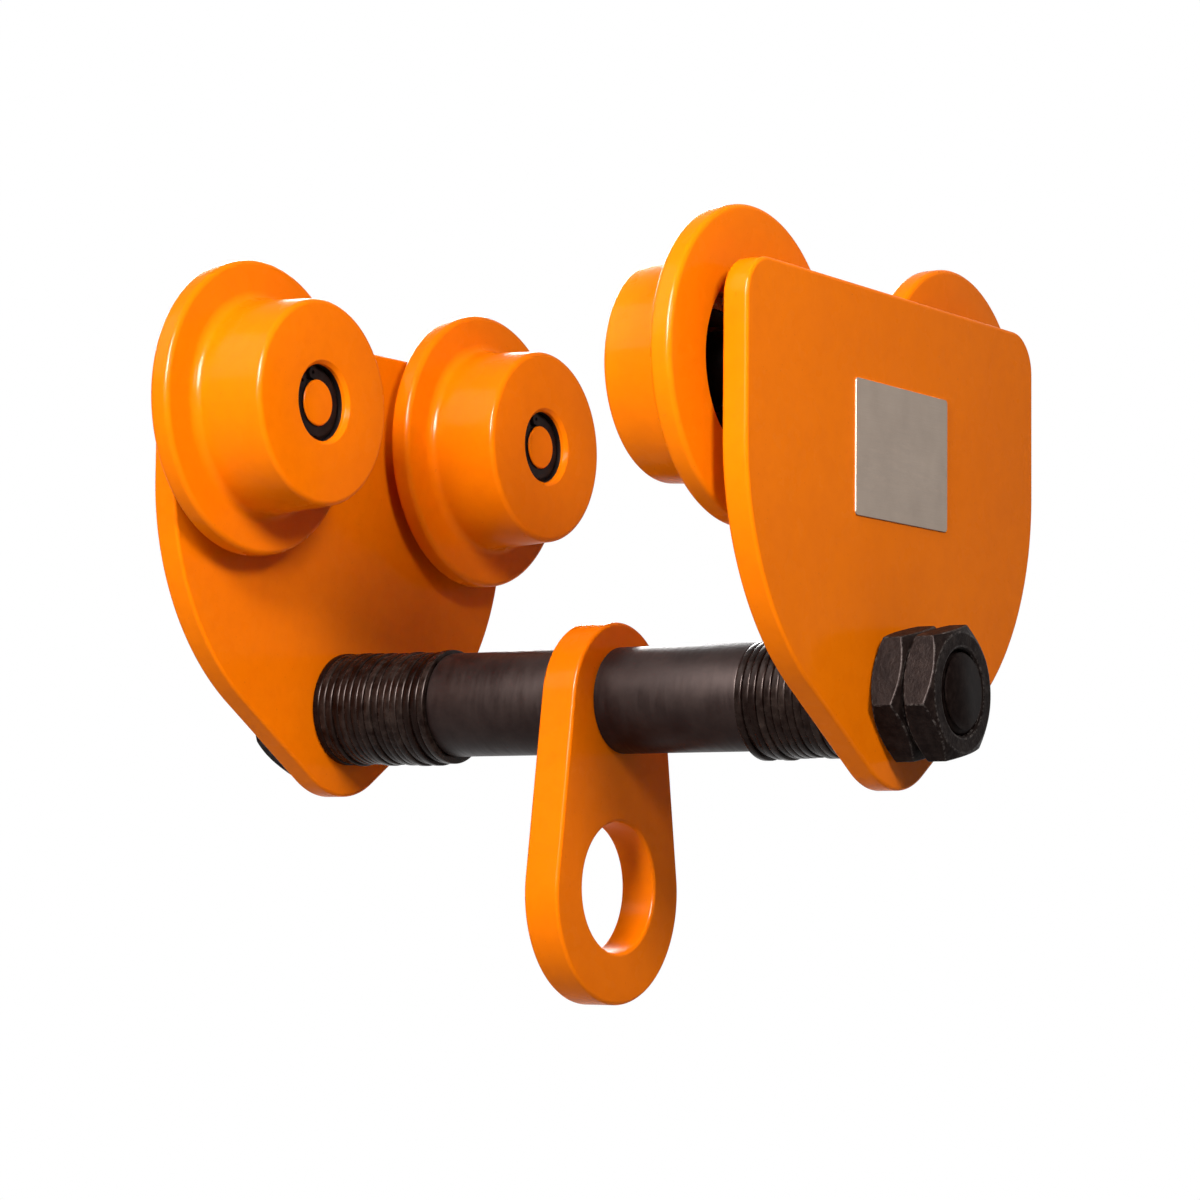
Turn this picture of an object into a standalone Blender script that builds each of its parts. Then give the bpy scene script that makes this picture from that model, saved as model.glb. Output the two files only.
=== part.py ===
"""A plain beam trolley: two side plates with four flanged wheels run on a beam, and a shaft carries the load lug.

X runs along the shaft, across the beam. Y runs along the beam. +Z is up.
The origin is midway between the side plates, midway between the axles, on the level where the treads meet the beam.
Sizes are in millimetres and are scaled to metres when a mesh is made.
"""

from math import acos, asin, atan2, cos, hypot, pi, radians, sin, sqrt, tan

import bmesh
import bpy
from mathutils import Matrix, Vector

MM = 0.001

# Clearance between pieces that touch on the real trolley
GAP = 0.3

# Suspension shaft: a long bolt, with its head outside the left plate and its thread outside the right one
SHAFT_R = 12.0
SHAFT_PROUD = 0.4
SHAFT_CHAMFER = 1.4
SHAFT_DROP = 88.0
HEAD_T = 15.0
HEAD_TURN_DEG = 31.0

# Loose pieces on the shaft
WASHER_T = 2.53
WASHER_R = 17.7
WASHER_BORE_R = 14.0
LEFT_WASHER_COUNT = 15
RIGHT_WASHER_COUNT = 13
WASHER_DROP_LEFT = 1.15
WASHER_DROP_RIGHT = 0.4
WASHER_SHIFT = 0.25
TUBE_L_LEFT = 48.5
TUBE_L_RIGHT = 49.06
TUBE_R = 15.3
TUBE_BORE_R = 12.8
TUBE_EDGE = 0.6

# Lug: a plate between a small round at the shaft and a larger one at the eye
LUG_T = 12.0
LUG_BORE_R = 14.0
LUG_TOP_R = 25.4
LUG_FOOT_R = 33.3
LUG_FOOT_DROP = 55.8
EYE_R = 19.6
EYE_DROP = 54.1
LUG_EDGE = 0.9

# Side plates, which reach past the axles by a margin
AXLE_HALF_SPACING = 59.5
PLATE_T = 8.0
PLATE_END_MARGIN = 26.3
PLATE_TOP_MARGIN = 27.0
PLATE_HALF_W = AXLE_HALF_SPACING + PLATE_END_MARGIN
PLATE_TOP_RISE = SHAFT_DROP + PLATE_TOP_MARGIN
PLATE_TOP_CORNER_R = 12.0
PLATE_SIDE_FOOT_RISE = 65.0
PLATE_SHOULDER_R = 78.0
PLATE_BOSS_R = 27.6
PLATE_BORE_R = 12.5
PLATE_EDGE = 0.8

# Hexagon nuts, and the bolt's head of the same width
NUT_AF = 36.0
NUT_T = 10.0
NUT_BORE_R = 12.3
NUT_FACE_SHARE = 0.95
NUT_CHAMFER_DEG = 30.0
NUT_TURN_DEG = 12.4

# Wheels, from the flat front face to the flange's back
TREAD_W = 23.5
TREAD_FRONT_R = 31.0
TREAD_ROOT_R = 32.5
FLANGE_T = 7.0
FLANGE_R = 44.7
FRONT_WALL_T = 4.2
FRONT_HOLE_R = 12.5
BACK_RECESS_R = 26.0
BACK_RECESS_DEPTH = 11.0
WHEEL_EDGE = 0.8

# Ball bearings
BEARING_W = 13.0
BEARING_R = 21.0
BEARING_BORE_R = 7.8
OUTER_RING_SHOULDER_R = 17.0
INNER_RING_SHOULDER_R = 11.8
BALL_R = 3.2
BALL_COUNT = 7
CAGE_HALF_W = 1.0
CAGE_HALF_T = 0.8

# Axle stubs and their circlips
COLLAR_L = 17.7
COLLAR_R = 10.5
JOURNAL_R = BEARING_BORE_R - GAP
SPIGOT_R = 9.0
AXLE_CAP_T = 1.5
AXLE_END_L = 1.2
AXLE_CHAMFER = 0.7
GROOVE_DEPTH = 0.6
CLIP_T = 1.1
CLIP_WIDTH = 3.0
CLIP_EAR_R = 2.0
CLIP_EAR_HOLE_R = 0.7
CLIP_EAR_ANGLE_DEG = 19.0
CLIP_OPENING_DEG = 120.0

# Size of the mark drawn at a pivot
PIVOT_MARK = 10.0

# How far the hexagonal bar and its turned blank reach past the piece that they share
HEX_OVER = 1.0

# Facets on round pieces
WHEEL_SIDES = 28
RING_SIDES = 24
INNER_RING_SIDES = 16
AXLE_SIDES = 14
WASHER_SIDES = 14
TUBE_SIDES = 20
SHAFT_SIDES = 24
EYE_SIDES = 28
BORE_SIDES = 20
NUT_SIDES = 18
GROOVE_STEPS = 3
BALL_SIDES = 8
BALL_RINGS = 4
CAGE_SIDES = 14
CLIP_STEPS = 7
CLIP_EAR_STEPS = 5

# Places worked out from the sizes above
TREAD_MEAN_R = (TREAD_FRONT_R + TREAD_ROOT_R) / 2
AXLE_Z = TREAD_MEAN_R
SHAFT_Z = AXLE_Z - SHAFT_DROP
WASHER_PITCH = WASHER_T + GAP
STACK_LEFT_L = LEFT_WASHER_COUNT * WASHER_PITCH + TUBE_L_LEFT + 2 * GAP
STACK_RIGHT_L = RIGHT_WASHER_COUNT * WASHER_PITCH + TUBE_L_RIGHT + 2 * GAP
PLATE_INNER_X = (STACK_LEFT_L + LUG_T + STACK_RIGHT_L) / 2
PLATE_OUTER_X = PLATE_INNER_X + PLATE_T
NUTS_OUTER_X = PLATE_OUTER_X + 2 * (GAP + NUT_T)
SHAFT_END_X = NUTS_OUTER_X + SHAFT_PROUD
HEAD_X = -PLATE_OUTER_X - GAP
NUT_FACE_R = NUT_AF / 2 * NUT_FACE_SHARE
WHEEL_W = TREAD_W + FLANGE_T
BEARING_SEAT_R = BEARING_R + GAP
GROOVE_R = JOURNAL_R - GROOVE_DEPTH
CLIP_IN_R = GROOVE_R + GAP
GROOVE_W = CLIP_T + 2 * GAP
PITCH_R = (OUTER_RING_SHOULDER_R + INNER_RING_SHOULDER_R) / 2
RACE_R = BALL_R + GAP
LUG_X = (STACK_LEFT_L - STACK_RIGHT_L) / 2

# Distances of the wheel parts from a side plate's inner face, towards the middle
BEARING_BACK_U = COLLAR_L + GAP
BEARING_FRONT_U = BEARING_BACK_U + BEARING_W
WHEEL_FACE_U = BEARING_FRONT_U + GAP + FRONT_WALL_T
AXLE_END_U = BEARING_FRONT_U + GROOVE_W + AXLE_END_L

ORANGE = (0.89, 0.19, 0.004, 1.0)
BLACK_STEEL = (0.018, 0.016, 0.016, 1.0)
BRIGHT_STEEL = (0.42, 0.42, 0.43, 1.0)


def clear_scene():
    for obj in list(bpy.data.objects):
        bpy.data.objects.remove(obj, do_unlink=True)


def material(name, color, roughness, metallic):
    found = bpy.data.materials.new(name)
    found.use_nodes = True
    shader = found.node_tree.nodes["Principled BSDF"]
    shader.inputs["Base Color"].default_value = color
    shader.inputs["Roughness"].default_value = roughness
    shader.inputs["Metallic"].default_value = metallic
    found.diffuse_color = color
    return found


def paint(name):
    return material(name, ORANGE, 0.25, 0.0)


def blackened(name):
    return material(name, BLACK_STEEL, 0.45, 0.6)


def bright(name):
    return material(name, BRIGHT_STEEL, 0.3, 1.0)


def mesh_of(name, bm):
    """The bmesh, in millimetres, as a mesh in metres with its faces pointing out and its round sides smooth."""
    bmesh.ops.remove_doubles(bm, verts=bm.verts, dist=1e-5)
    bmesh.ops.recalc_face_normals(bm, faces=bm.faces)
    bmesh.ops.scale(bm, vec=Vector((MM, MM, MM)), verts=bm.verts)
    mesh = bpy.data.meshes.new(name)
    bm.to_mesh(mesh)
    bm.free()
    mesh.shade_smooth()
    mesh.set_sharp_from_angle(angle=radians(35))
    return mesh


def place(name, mesh, finish, at=(0, 0, 0), parent=None):
    """A new object of this mesh, at a point in millimetres."""
    obj = bpy.data.objects.new(name, mesh)
    bpy.context.scene.collection.objects.link(obj)
    obj.location = Vector(at) * MM
    if parent is not None:
        obj.parent = parent
        obj.location = Vector(at) * MM - parent.location
    if finish is not None:
        mesh.materials.append(finish)
    return obj


def pivot(name, at):
    """An empty on a joint's axis, which carries the pieces that turn about it."""
    empty = bpy.data.objects.new(name, None)
    bpy.context.scene.collection.objects.link(empty)
    empty.location = Vector(at) * MM
    empty.empty_display_size = PIVOT_MARK * MM
    return empty


def lathe(profile, sides, closed=True, first_angle=0.0):
    """Turns a profile of (x, radius) points about the X axis. An open profile gets a flat end at each side."""
    bm = bmesh.new()
    points = [bm.verts.new((x, 0, radius)) for x, radius in profile]
    pairs = list(zip(points, points[1:]))
    if closed:
        pairs.append((points[-1], points[0]))
    edges = [bm.edges.new(pair) for pair in pairs]
    axis = Vector((1, 0, 0))
    if first_angle:
        bmesh.ops.rotate(bm, cent=(0, 0, 0), matrix=Matrix.Rotation(first_angle, 3, axis), verts=bm.verts)
    bmesh.ops.spin(
        bm, geom=points + edges, cent=(0, 0, 0), axis=axis, angle=2 * pi, steps=sides, use_merge=True
    )
    if not closed:
        rims = [edge for edge in bm.edges if edge.is_boundary]
        bmesh.ops.holes_fill(bm, edges=rims, sides=sides)
    return bm


def slab(outline, thickness):
    """Extrudes an outline of (y, z) points along X, to half the thickness on each side of the YZ plane."""
    bm = bmesh.new()
    face = bm.faces.new([bm.verts.new((-thickness / 2, y, z)) for y, z in outline])
    grown = bmesh.ops.extrude_face_region(bm, geom=[face])["geom"]
    moved = [item for item in grown if isinstance(item, bmesh.types.BMVert)]
    bmesh.ops.translate(bm, vec=(thickness, 0, 0), verts=moved)
    return bm


def arc(centre, radius, start, end, steps):
    """Points of an arc, both ends included. Angles run from +Y towards +Z, in radians."""
    span = end - start
    angles = [start + span * step / steps for step in range(steps + 1)]
    return [(centre[0] + radius * cos(a), centre[1] + radius * sin(a)) for a in angles]


def mirrored(half):
    """A half outline on the +Y side, from top to bottom, closed by its mirror image."""
    other = [(-y, z) for y, z in reversed(half) if abs(y) > 1e-6]
    return half + other


def cutter(name, x0, x1, centre, radius, sides=BORE_SIDES):
    """A cylinder along X that a Boolean takes away. It is never part of the trolley."""
    bm = lathe([(x0, radius), (x1, radius)], sides, closed=False)
    bmesh.ops.translate(bm, vec=(0, centre[0], centre[1]), verts=bm.verts)
    obj = place(name, mesh_of(name, bm), None)
    obj.hide_render = True
    obj.display_type = "WIRE"
    return obj


def cut(obj, tool):
    change = obj.modifiers.new("cut " + tool.name, "BOOLEAN")
    change.operation = "DIFFERENCE"
    change.solver = "EXACT"
    change.object = tool
    tool.parent = obj


def soften(obj, width, segments=1):
    edge = obj.modifiers.new("edge", "BEVEL")
    edge.width = width * MM
    edge.segments = segments
    edge.limit_method = "ANGLE"
    edge.angle_limit = radians(50)
    edge.use_clamp_overlap = True


def plate_outline():
    """Straight top, upright sides, a wide shoulder and a straight flank down to the boss round the shaft."""
    corner = (PLATE_HALF_W - PLATE_TOP_CORNER_R, PLATE_TOP_RISE - PLATE_TOP_CORNER_R)
    shoulder = (PLATE_HALF_W - PLATE_SHOULDER_R, PLATE_SIDE_FOOT_RISE)
    reach = hypot(*shoulder)
    flank = atan2(shoulder[1], shoulder[0]) - acos((PLATE_BOSS_R - PLATE_SHOULDER_R) / reach)
    half = arc(corner, PLATE_TOP_CORNER_R, pi / 2, 0, 4)
    half += arc(shoulder, PLATE_SHOULDER_R, 0, flank, 7)
    half += arc((0, 0), PLATE_BOSS_R, flank, -pi / 2, 6)
    return mirrored(half)


def lug_outline():
    """Two rounds and their common tangents, measured from the centre of the lug's bore."""
    lean = asin((LUG_FOOT_R - LUG_TOP_R) / LUG_FOOT_DROP)
    half = arc((0, 0), LUG_TOP_R, pi / 2, lean, 8)
    half += arc((0, -LUG_FOOT_DROP), LUG_FOOT_R, lean, -pi / 2, 11)
    return mirrored(half)


def side_plate(side, finish):
    """The plate's own middle is on the shaft. Each axle hole is blind: the stub's outer end is welded over."""
    name = "side_plate_" + side
    way = 1 if side == "right" else -1
    mesh = mesh_of(name, slab(plate_outline(), PLATE_T))
    plate = place(name, mesh, finish, (way * (PLATE_INNER_X + PLATE_T / 2), 0, SHAFT_Z))
    soften(plate, PLATE_EDGE)
    cut(plate, cutter("cut_shaft_bore_" + side, -PLATE_T, PLATE_T, (0, 0), PLATE_BORE_R))
    floor = PLATE_T / 2 - AXLE_CAP_T
    for end, y in (("front", -AXLE_HALF_SPACING), ("rear", AXLE_HALF_SPACING)):
        name = f"cut_axle_{side}_{end}"
        tool = cutter(name, -way * PLATE_T, way * floor, (y, SHAFT_DROP), SPIGOT_R + GAP, AXLE_SIDES)
        cut(plate, tool)


def hexagon(thickness, turn):
    """A hexagonal bar across the YZ plane, a little longer than the piece that is cut from it."""
    end = thickness / 2 + HEX_OVER
    corner_r = NUT_AF / sqrt(3)
    return lathe([(-end, corner_r), (end, corner_r)], 6, closed=False, first_angle=turn - pi / 2)


def chamfer_slope():
    """How far along X the turned chamfer runs between a face's edge and the blank's rim."""
    return (NUT_AF / sqrt(3) + HEX_OVER - NUT_FACE_R) * tan(radians(NUT_CHAMFER_DEG))


def shared_shape(obj, tool):
    """Keeps only what the piece and the tool share."""
    tool.hide_render = True
    tool.display_type = "WIRE"
    tool.parent = obj
    common = obj.modifiers.new("common " + tool.name, "BOOLEAN")
    common.operation = "INTERSECT"
    common.solver = "EXACT"
    common.object = tool


def joined_shape(obj, tool):
    """Adds the tool to the piece, as one solid."""
    tool.hide_render = True
    tool.display_type = "WIRE"
    tool.parent = obj
    union = obj.modifiers.new("joined " + tool.name, "BOOLEAN")
    union.operation = "UNION"
    union.solver = "EXACT"
    union.object = tool


def shaft(finish):
    """The bolt's head is a hexagon with a turned chamfer on its outer face, and the rod grows out of it."""
    half = HEAD_T / 2
    rim = NUT_AF / sqrt(3) + HEX_OVER
    blank = lathe(
        [(-half, NUT_FACE_R), (chamfer_slope() - half, rim), (half, rim)], NUT_SIDES, closed=False
    )
    head = mesh_of("suspension_shaft", hexagon(HEAD_T, radians(HEAD_TURN_DEG)))
    bolt = place("suspension_shaft", head, finish, (HEAD_X - half, 0, SHAFT_Z))
    shared_shape(bolt, place("shape_bolt_head", mesh_of("bolt_head_blank", blank), None))
    end = SHAFT_END_X - HEAD_X + half
    rod = lathe(
        [(0, SHAFT_R), (end - SHAFT_CHAMFER, SHAFT_R), (end, SHAFT_R - SHAFT_CHAMFER)], SHAFT_SIDES, closed=False
    )
    joined_shape(bolt, place("shape_bolt_rod", mesh_of("bolt_rod", rod), None))


def hang(bore_radius, sides):
    """How far a loose piece drops until the flats of its bore rest on the shaft."""
    return bore_radius * cos(pi / sides) - SHAFT_R - GAP


def sleeve(length, outer, bore, edge, sides):
    """A tube whose left end is at the origin."""
    profile = [
        (0, bore),
        (0, outer - edge),
        (edge, outer),
        (length - edge, outer),
        (length, outer - edge),
        (length, bore),
    ]
    return lathe(profile, sides)


def washer_stack(side, count, start_x, drop, finish):
    """Clamped washers sit low on the shaft, each pushed a little sideways, as a stack of them never lines up."""
    profile = [(0, WASHER_BORE_R), (0, WASHER_R), (WASHER_T, WASHER_R), (WASHER_T, WASHER_BORE_R)]
    shared = mesh_of("adjusting_washer", lathe(profile, WASHER_SIDES))
    shared.materials.append(finish)
    for number in range(count):
        x = start_x + number * WASHER_PITCH
        y = WASHER_SHIFT * sin(2.4 * number)
        name = f"adjusting_washer_{side}_{number + 1:02d}"
        place(name, shared, None, (x, y, SHAFT_Z - drop))


def shaft_stack(washer_finish, tube_finish):
    """Washers, tube, lug, tube and washers fill the space between the plates and set its width."""
    first_left = GAP - PLATE_INNER_X
    first_right = PLATE_INNER_X - RIGHT_WASHER_COUNT * WASHER_PITCH
    washer_stack("left", LEFT_WASHER_COUNT, first_left, WASHER_DROP_LEFT, washer_finish)
    washer_stack("right", RIGHT_WASHER_COUNT, first_right, WASHER_DROP_RIGHT, washer_finish)
    height = SHAFT_Z - hang(TUBE_BORE_R, TUBE_SIDES)
    left_x = LUG_X - LUG_T / 2 - GAP - TUBE_L_LEFT
    right_x = LUG_X + LUG_T / 2 + GAP
    for side, length, x in (("left", TUBE_L_LEFT, left_x), ("right", TUBE_L_RIGHT, right_x)):
        tube = mesh_of("spacer_tube_" + side, sleeve(length, TUBE_R, TUBE_BORE_R, TUBE_EDGE, TUBE_SIDES))
        place("spacer_tube_" + side, tube, tube_finish, (x, 0, height))


def lug(finish):
    """The lug's origin is on the shaft's axis, about which it swings. Its bore hangs on the shaft."""
    centre = -hang(LUG_BORE_R, BORE_SIDES)
    bm = slab(lug_outline(), LUG_T)
    bmesh.ops.translate(bm, vec=(0, 0, centre), verts=bm.verts)
    body = place("lug", mesh_of("lug", bm), finish, (LUG_X, 0, SHAFT_Z))
    cut(body, cutter("cut_lug_bore", -LUG_T, LUG_T, (0, centre), LUG_BORE_R))
    cut(body, cutter("cut_lug_eye", -LUG_T, LUG_T, (0, centre - EYE_DROP), EYE_R, EYE_SIDES))
    soften(body, LUG_EDGE)


def nuts(finish):
    """An inner nut against the right plate and a lock nut outside it, stopped at the same angle."""
    half = NUT_T / 2
    rim = NUT_AF / sqrt(3) + HEX_OVER
    blank = [
        (-half, NUT_BORE_R),
        (-half, NUT_FACE_R),
        (chamfer_slope() - half, rim),
        (half - chamfer_slope(), rim),
        (half, NUT_FACE_R),
        (half, NUT_BORE_R),
    ]
    for number, name in enumerate(("hex_nut", "lock_nut")):
        x = PLATE_OUTER_X + GAP + NUT_T / 2 + number * (NUT_T + GAP)
        nut = place(name, mesh_of(name, hexagon(NUT_T, radians(NUT_TURN_DEG))), finish, (x, 0, SHAFT_Z))
        shared_shape(nut, place("shape_" + name, mesh_of(name + "_blank", lathe(blank, NUT_SIDES)), None))


def wheel_profile():
    """From the front hole, through the bearing seat and the back recess, round the flange and along the tread."""
    seat_end = WHEEL_W - BACK_RECESS_DEPTH
    return [
        (0, FRONT_HOLE_R),
        (FRONT_WALL_T, FRONT_HOLE_R),
        (FRONT_WALL_T, BEARING_SEAT_R),
        (seat_end, BEARING_SEAT_R),
        (seat_end, BACK_RECESS_R),
        (WHEEL_W, BACK_RECESS_R),
        (WHEEL_W, FLANGE_R - WHEEL_EDGE),
        (WHEEL_W - WHEEL_EDGE, FLANGE_R),
        (TREAD_W + WHEEL_EDGE, FLANGE_R),
        (TREAD_W, FLANGE_R - WHEEL_EDGE),
        (TREAD_W, TREAD_ROOT_R),
        (WHEEL_EDGE, TREAD_FRONT_R),
        (0, TREAD_FRONT_R - WHEEL_EDGE),
    ]


def outer_ring_profile():
    """From the bearing's middle out: a race groove for the balls on the inner side."""
    edge = asin((OUTER_RING_SHOULDER_R - PITCH_R) / RACE_R)
    half = BEARING_W / 2
    race = arc((0, PITCH_R), RACE_R, pi - edge, edge, GROOVE_STEPS)
    corners = [(half, OUTER_RING_SHOULDER_R), (half, BEARING_R), (-half, BEARING_R)]
    return race + corners + [(-half, OUTER_RING_SHOULDER_R)]


def inner_ring_profile():
    edge = asin((PITCH_R - INNER_RING_SHOULDER_R) / RACE_R)
    half = BEARING_W / 2
    race = arc((0, PITCH_R), RACE_R, pi + edge, 2 * pi - edge, GROOVE_STEPS)
    corners = [(half, INNER_RING_SHOULDER_R), (half, BEARING_BORE_R), (-half, BEARING_BORE_R)]
    return race + corners + [(-half, INNER_RING_SHOULDER_R)]


def axle_profile():
    """From the welded spigot in the plate to the chamfered free end, measured from the plate's inner face."""
    spigot_end = PLATE_T - AXLE_CAP_T - GAP
    groove_start = BEARING_FRONT_U
    groove_end = groove_start + GROOVE_W
    return [
        (-spigot_end, SPIGOT_R),
        (GAP, SPIGOT_R),
        (GAP, COLLAR_R),
        (COLLAR_L, COLLAR_R),
        (COLLAR_L, JOURNAL_R),
        (groove_start, JOURNAL_R),
        (groove_start, GROOVE_R),
        (groove_end, GROOVE_R),
        (groove_end, JOURNAL_R),
        (AXLE_END_U - AXLE_CHAMFER, JOURNAL_R),
        (AXLE_END_U, JOURNAL_R - AXLE_CHAMFER),
    ]


def ball_cage_mesh():
    """Balls on their pitch circle, joined by the pressed cage that keeps them apart."""
    web = [
        (-CAGE_HALF_W, PITCH_R - CAGE_HALF_T),
        (-CAGE_HALF_W, PITCH_R + CAGE_HALF_T),
        (CAGE_HALF_W, PITCH_R + CAGE_HALF_T),
        (CAGE_HALF_W, PITCH_R - CAGE_HALF_T),
    ]
    balls = bmesh.new()
    for number in range(BALL_COUNT):
        angle = 2 * pi * number / BALL_COUNT
        middle = Matrix.Translation((0, PITCH_R * cos(angle), PITCH_R * sin(angle)))
        upright = Matrix.Rotation(pi / 2, 4, "Y")
        bmesh.ops.create_uvsphere(
            balls, u_segments=BALL_SIDES, v_segments=BALL_RINGS, radius=BALL_R, matrix=middle @ upright
        )
    return mesh_of("ball_cage", lathe(web, CAGE_SIDES)), mesh_of("balls", balls)


def clip_ear_middle():
    """The ear's middle, measured from the axle: the ear touches the ring's inner edge and stands out of the outer."""
    reach = CLIP_IN_R + CLIP_EAR_R
    angle = radians(CLIP_EAR_ANGLE_DEG)
    return (reach * cos(angle), reach * sin(angle))


def clip_outline():
    """An open ring that ends in two round ears."""
    ear = clip_ear_middle()
    ear_angle = radians(CLIP_EAR_ANGLE_DEG)
    outer = CLIP_IN_R + CLIP_WIDTH
    reach = hypot(*ear)
    join = ear_angle + acos((outer**2 + reach**2 - CLIP_EAR_R**2) / (2 * outer * reach))
    joint = (outer * cos(join), outer * sin(join))
    first = atan2(joint[1] - ear[1], joint[0] - ear[0])
    half = arc((0, 0), outer, pi, join, CLIP_STEPS)
    half += arc(ear, CLIP_EAR_R, first, ear_angle - pi, CLIP_EAR_STEPS)[1:]
    half += arc((0, 0), CLIP_IN_R, ear_angle, pi, CLIP_STEPS)[1:]
    other = [(y, -z) for y, z in reversed(half[1:-1])]
    return half + other


def circlip(name, finish, at):
    clip = place(name, mesh_of(name, slab(clip_outline(), CLIP_T)), finish, at)
    y, z = clip_ear_middle()
    for number, hole in enumerate(((y, z), (y, -z))):
        cut(clip, cutter(f"cut_{name}_{number}", -CLIP_T, CLIP_T, hole, CLIP_EAR_HOLE_R, 6))
    clip.rotation_euler.x = radians(CLIP_OPENING_DEG)


def along(profile, way, start=0.0):
    """The profile with its X distances laid off from a start, to the left or to the right."""
    return [(start + way * x, radius) for x, radius in profile]


def wheel_set(side, end, finishes):
    """A wheel with its bearing, on an axle stub that stands out of the side plate towards the middle."""
    way = 1 if side == "right" else -1
    y = AXLE_HALF_SPACING if end == "rear" else -AXLE_HALF_SPACING
    tag = f"{side}_{end}"
    plate_x = way * PLATE_INNER_X
    face_x = way * (PLATE_INNER_X - WHEEL_FACE_U)
    bearing_x = way * (PLATE_INNER_X - (BEARING_BACK_U + BEARING_FRONT_U) / 2)
    clip_x = way * (PLATE_INNER_X - BEARING_FRONT_U - GROOVE_W / 2)

    spin = pivot("wheel_pivot_" + tag, (face_x, y, AXLE_Z))
    wheel = mesh_of("wheel_" + tag, lathe(along(wheel_profile(), way), WHEEL_SIDES))
    place("wheel_" + tag, wheel, finishes["wheel"], (face_x, y, AXLE_Z), spin)
    ring = mesh_of("bearing_outer_ring_" + tag, lathe(outer_ring_profile(), RING_SIDES))
    place("bearing_outer_ring_" + tag, ring, finishes["ring"], (bearing_x, y, AXLE_Z), spin)

    axle = mesh_of("axle_" + tag, lathe(along(axle_profile(), -way), AXLE_SIDES, closed=False))
    place("axle_" + tag, axle, finishes["axle"], (plate_x, y, AXLE_Z))
    ring = mesh_of("bearing_inner_ring_" + tag, lathe(inner_ring_profile(), INNER_RING_SIDES))
    place("bearing_inner_ring_" + tag, ring, finishes["ring"], (bearing_x, y, AXLE_Z))
    circlip("circlip_" + tag, finishes["clip"], (clip_x, y, AXLE_Z))

    web, balls = ball_cage_mesh()
    cage = place("ball_cage_" + tag, web, finishes["ball"], (bearing_x, y, AXLE_Z))
    joined_shape(cage, place("shape_balls_" + tag, balls, None))


def build():
    clear_scene()
    plate_finish = paint("plate_paint")
    for side in ("left", "right"):
        side_plate(side, plate_finish)
    shaft(blackened("shaft_steel"))
    shaft_stack(blackened("washer_steel"), blackened("tube_steel"))
    lug(paint("lug_paint"))
    nuts(blackened("nut_steel"))
    finishes = {
        "wheel": paint("wheel_paint"),
        "axle": paint("axle_paint"),
        "ring": bright("bearing_steel"),
        "ball": bright("ball_steel"),
        "clip": blackened("spring_steel"),
    }
    for side in ("left", "right"):
        for end in ("front", "rear"):
            wheel_set(side, end, finishes)


build()
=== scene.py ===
"""Looks of a plain beam trolley: orange enamel, and blackened steel on the shaft and round it."""

from math import acos, asin, atan2, cos, hypot, pi, radians, sin, sqrt, tan

import bmesh
import bpy
from mathutils import Matrix, Vector


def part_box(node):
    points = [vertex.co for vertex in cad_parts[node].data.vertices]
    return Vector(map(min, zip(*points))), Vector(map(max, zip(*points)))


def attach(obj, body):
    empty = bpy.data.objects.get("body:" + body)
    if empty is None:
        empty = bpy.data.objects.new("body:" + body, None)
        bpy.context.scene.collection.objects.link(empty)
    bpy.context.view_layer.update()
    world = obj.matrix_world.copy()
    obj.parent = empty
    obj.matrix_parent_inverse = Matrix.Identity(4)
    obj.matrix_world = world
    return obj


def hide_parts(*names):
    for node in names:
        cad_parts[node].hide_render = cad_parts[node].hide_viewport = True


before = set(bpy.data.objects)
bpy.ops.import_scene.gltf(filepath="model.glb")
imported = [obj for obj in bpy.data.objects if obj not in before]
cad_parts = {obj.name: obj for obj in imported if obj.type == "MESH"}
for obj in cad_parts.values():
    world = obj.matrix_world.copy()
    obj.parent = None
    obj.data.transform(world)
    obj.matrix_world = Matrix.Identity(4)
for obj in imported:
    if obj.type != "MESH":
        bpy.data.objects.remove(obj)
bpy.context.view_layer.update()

MM = 0.001
SIDES = ("left", "right")
ENDS = ("front", "rear")

# Camera, as found from the photograph. The shaft's middle lies at SHAFT_PIXEL of a 1200 by 1200 picture
CAMERA_TURN_DEG = 33.13
CAMERA_RISE_DEG = -4.90
CAMERA_ROLL_DEG = 0.57
CAMERA_FOCAL_PX = 3620.8
CAMERA_DISTANCE = 1091.5
PICTURE_PX = 1200
SHAFT_PIXEL = (597.3, 702.4)

# Studio, in metres: the room's light on dull surfaces, and a floor that glows white round the shadow
ROOM_LIGHT = 0.04
FLOOR_R = 12
FLOOR_DROP = 0.9
FLOOR_GREY = 0.7
FLOOR_SHADOW_REACH = 0.2
FLOOR_LIT_REACH = 1.4
FLOOR_SHADOW_GLOW = 0.74

# Enamel, steel and foil colours, and the warm tint of what the black oxide mirrors
ENAMEL = (0.75, 0.155, 0.0006)
ENAMEL_DEEP = (0.715, 0.144, 0.0004)
ENAMEL_THIN = (0.67, 0.13, 0.0008)
ENAMEL_DUST = (0.48, 0.09, 0.004)
TUBE_BLACK = (0.0048, 0.0014, 0.0011)
TUBE_BLACK_WORN = (0.017, 0.01, 0.0085)
WASHER_BLACK = (0.0045, 0.0018, 0.0012)
WASHER_RUBBED = (0.028, 0.019, 0.0155)
NUT_BLACK = (0.0034, 0.0017, 0.0014)
# This worn black also speckles the painted shade in the wheels' holes and on the axles
WORN_BLACK_AND_SHADE = (0.014, 0.009, 0.0074)
RUBBED_EDGE = (0.06, 0.05, 0.045)
# Seal black is also the painted shade on the bearings' inner rings, deep in the wheels' holes and on the
# axles
SEAL_BLACK_AND_SHADE = (0.006, 0.004, 0.004)
SPRING_BLACK = (0.006, 0.003, 0.003)
GROUND_STEEL = (0.5, 0.5, 0.51)
FOIL_GREY = (0.262, 0.204, 0.16)
FOIL_SHADE = (0.228, 0.176, 0.137)
OXIDE_SHINE = (1.0, 0.76, 0.7)


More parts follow.
